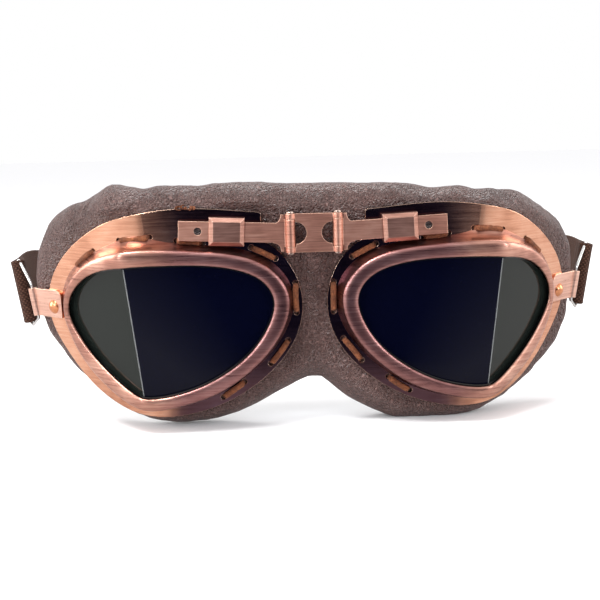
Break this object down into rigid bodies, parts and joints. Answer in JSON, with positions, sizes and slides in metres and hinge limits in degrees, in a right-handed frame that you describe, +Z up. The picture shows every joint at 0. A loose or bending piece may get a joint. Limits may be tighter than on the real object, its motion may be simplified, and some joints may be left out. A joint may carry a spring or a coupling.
{
  "type": "riding goggles",
  "caption": "Split-lens riding goggles: two framed eye cups on a hinged nose bridge, laced padded leather mask, wire bails and an elastic head strap.",
  "frame": {"origin": "middle of the overall width and depth, on the surface that the goggles stand on", "axes": "+Z up, the lenses face -Y, the wearer's head is on the +Y side; right is +X, left is -X"},
  "size_m": [0.2524, 0.174, 0.0957],
  "materials": {
    "antique_copper": "brushed antique copper plate",
    "polished_copper": "polished copper",
    "pin_metal": "worn copper plate",
    "bright_wire": "bright nickel-plated wire",
    "dark_steel": "blackened steel",
    "dark_screw": "blackened steel",
    "black_rubber": "glossy black rubber",
    "smoke_lens": "dark smoke, polished",
    "suede_lace": "tan suede",
    "brown_leather": "fine-grained dark brown leather",
    "foam": "soft foam",
    "felt_lining": "dark brushed felt",
    "elastic_webbing": "dark brown woven elastic"
  },
  "bodies": {
    "link": {"bridge_link": "antique_copper", "hinge_pin_left": "pin_metal", "hinge_pin_right": "pin_metal", "nose_cover": "brown_leather", "nose_foam": "foam", "nose_lining": "felt_lining"},
    "bar_left": {"bridge_bar_left": "antique_copper", "bar_stop_screw_left": "dark_screw"},
    "bar_right": {"bridge_bar_right": "antique_copper", "bar_stop_screw_right": "dark_screw"},
    "cup_left": {"bar_keeper_left": "antique_copper", "lens_rim_left": "antique_copper", "eye_flange_left": "antique_copper", "lens_gasket_left": "black_rubber", "front_lens_left": "smoke_lens", "side_lens_left": "smoke_lens", "lens_retainer_left": "dark_steel", "lacing_left": "suede_lace", "strap_bracket_left": "antique_copper", "bracket_rivet_left": "polished_copper", "mask_cover_left": "brown_leather", "mask_foam_left": "foam", "mask_lining_left": "felt_lining"},
    "cup_right": {"bar_keeper_right": "antique_copper", "lens_rim_right": "antique_copper", "eye_flange_right": "antique_copper", "lens_gasket_right": "black_rubber", "front_lens_right": "smoke_lens", "side_lens_right": "smoke_lens", "lens_retainer_right": "dark_steel", "lacing_right": "suede_lace", "strap_bracket_right": "antique_copper", "bracket_rivet_right": "polished_copper", "mask_cover_right": "brown_leather", "mask_foam_right": "foam", "mask_lining_right": "felt_lining"},
    "strap_left": {"strap_bail_left": "bright_wire", "head_strap_left": "elastic_webbing", "strap_slider": "dark_steel"},
    "strap_right": {"strap_bail_right": "bright_wire", "head_strap_right": "elastic_webbing"}
  },
  "joints": [
    {"name": "bridge_fold_left", "type": "hinge", "parent": "link", "child": "bar_left", "pos_m": [-0.0092, -0.08173, 0.0771], "axis": [0, 0, -1], "range_deg": [-5, 9], "stiffness_Nm_per_rad": 0.05},
    {"name": "bridge_fold_right", "type": "hinge", "parent": "link", "child": "bar_right", "pos_m": [0.0092, -0.08173, 0.0771], "axis": [0, 0, 1], "range_deg": [-5, 9]},
    {"name": "bridge_slide_left", "type": "slide", "parent": "bar_left", "child": "cup_left", "axis": [-0.9989, 0, 0.0471], "range_m": [-0.002, 0.0025]},
    {"name": "bridge_slide_right", "type": "slide", "parent": "bar_right", "child": "cup_right", "axis": [0.9989, 0, 0.0471], "range_m": [-0.002, 0.0025]},
    {"name": "bail_swing_left", "type": "hinge", "parent": "cup_left", "child": "strap_left", "pos_m": [-0.11523, -0.04034, 0.04756], "axis": [-0.1564, 0, 0.9877], "range_deg": [-5, 9]},
    {"name": "bail_swing_right", "type": "hinge", "parent": "cup_right", "child": "strap_right", "pos_m": [0.11523, -0.04034, 0.04756], "axis": [-0.1564, 0, -0.9877], "range_deg": [-5, 9]}
  ],
  "couplings": [
    {"joint": "bridge_fold_right", "follows": "bridge_fold_left", "ratio": 1},
    {"joint": "bail_swing_left", "follows": "bridge_fold_left", "ratio": 1},
    {"joint": "bail_swing_right", "follows": "bridge_fold_left", "ratio": 1}
  ]
}
